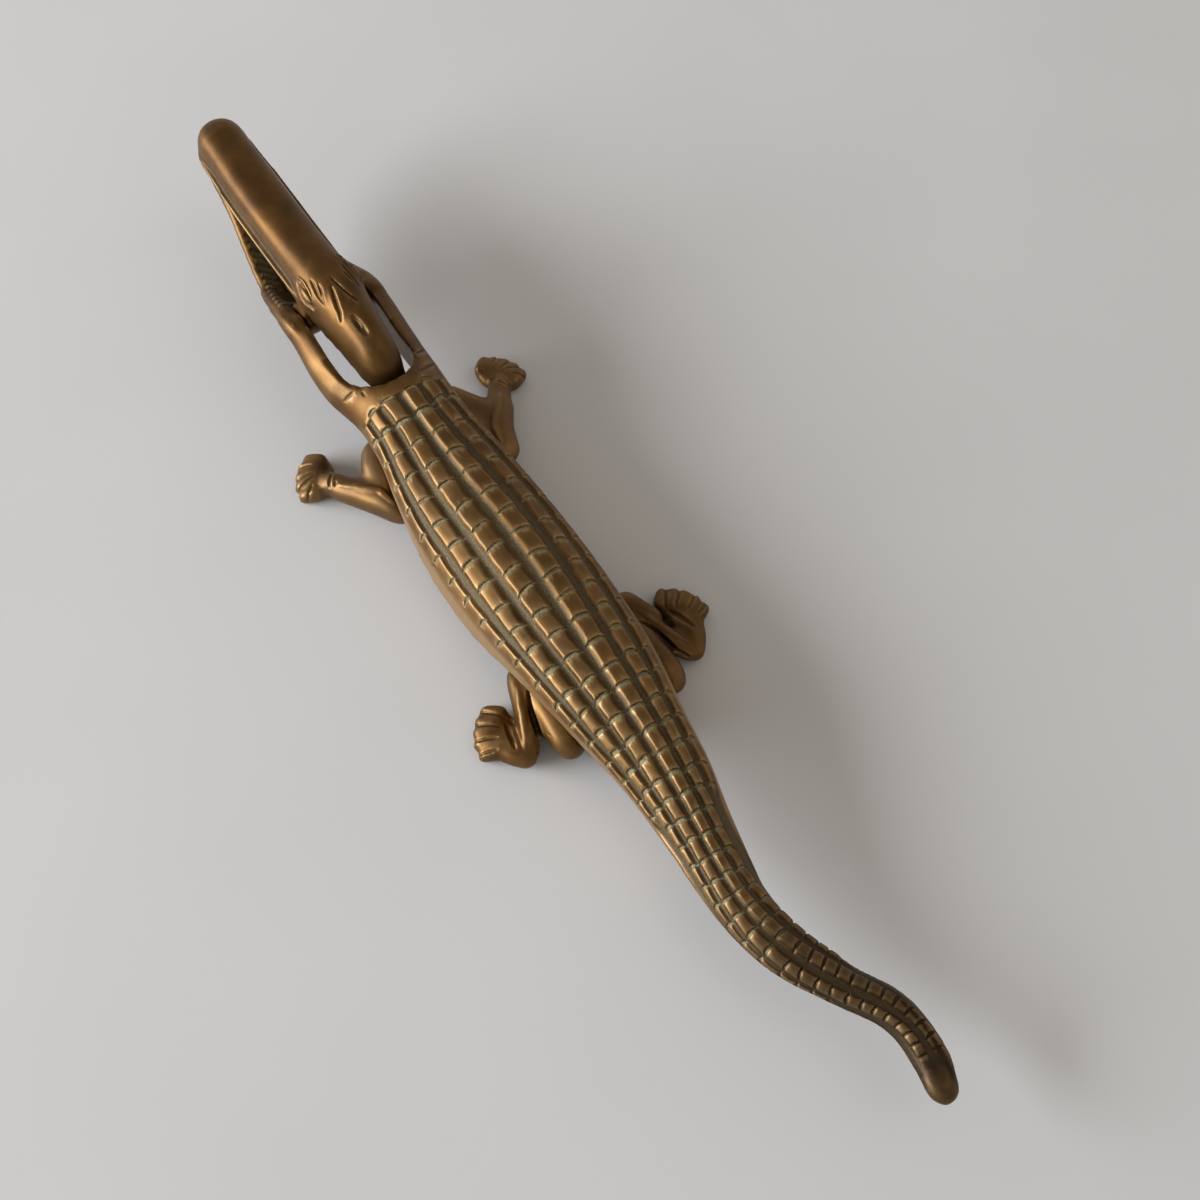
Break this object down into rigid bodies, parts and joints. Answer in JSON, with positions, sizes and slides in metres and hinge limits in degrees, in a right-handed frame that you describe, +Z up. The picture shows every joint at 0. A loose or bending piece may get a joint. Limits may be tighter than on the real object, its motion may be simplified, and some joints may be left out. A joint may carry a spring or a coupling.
{
  "type": "crocodile nutcracker",
  "caption": "Cast brass nutcracker in the shape of a crocodile: lifting the scaled tail drops the lower jaw, pressing it down cracks a nut between the jaws.",
  "frame": {"origin": "middle of the bounding box, on the table under the feet", "axes": "+X to the tip of the snout, +Y to the animal's left, +Z up"},
  "size_m": [0.333, 0.076, 0.0389],
  "materials": {
    "cast_brass": "satin cast brass with a dark brown patina and grey-green deposits in the grooves",
    "pin_brass": "drawn brass rod, riveted and filed flush"
  },
  "bodies": {
    "base": {"base_casting": "cast_brass"},
    "lever": {"lever_casting": "cast_brass", "pivot_pin": "pin_brass"}
  },
  "joints": [
    {"name": "jaw_hinge", "type": "hinge", "parent": "base", "child": "lever", "pos_m": [0.0965, 0, 0.021], "axis": [0, 1, 0], "range_deg": [0, 16]}
  ]
}
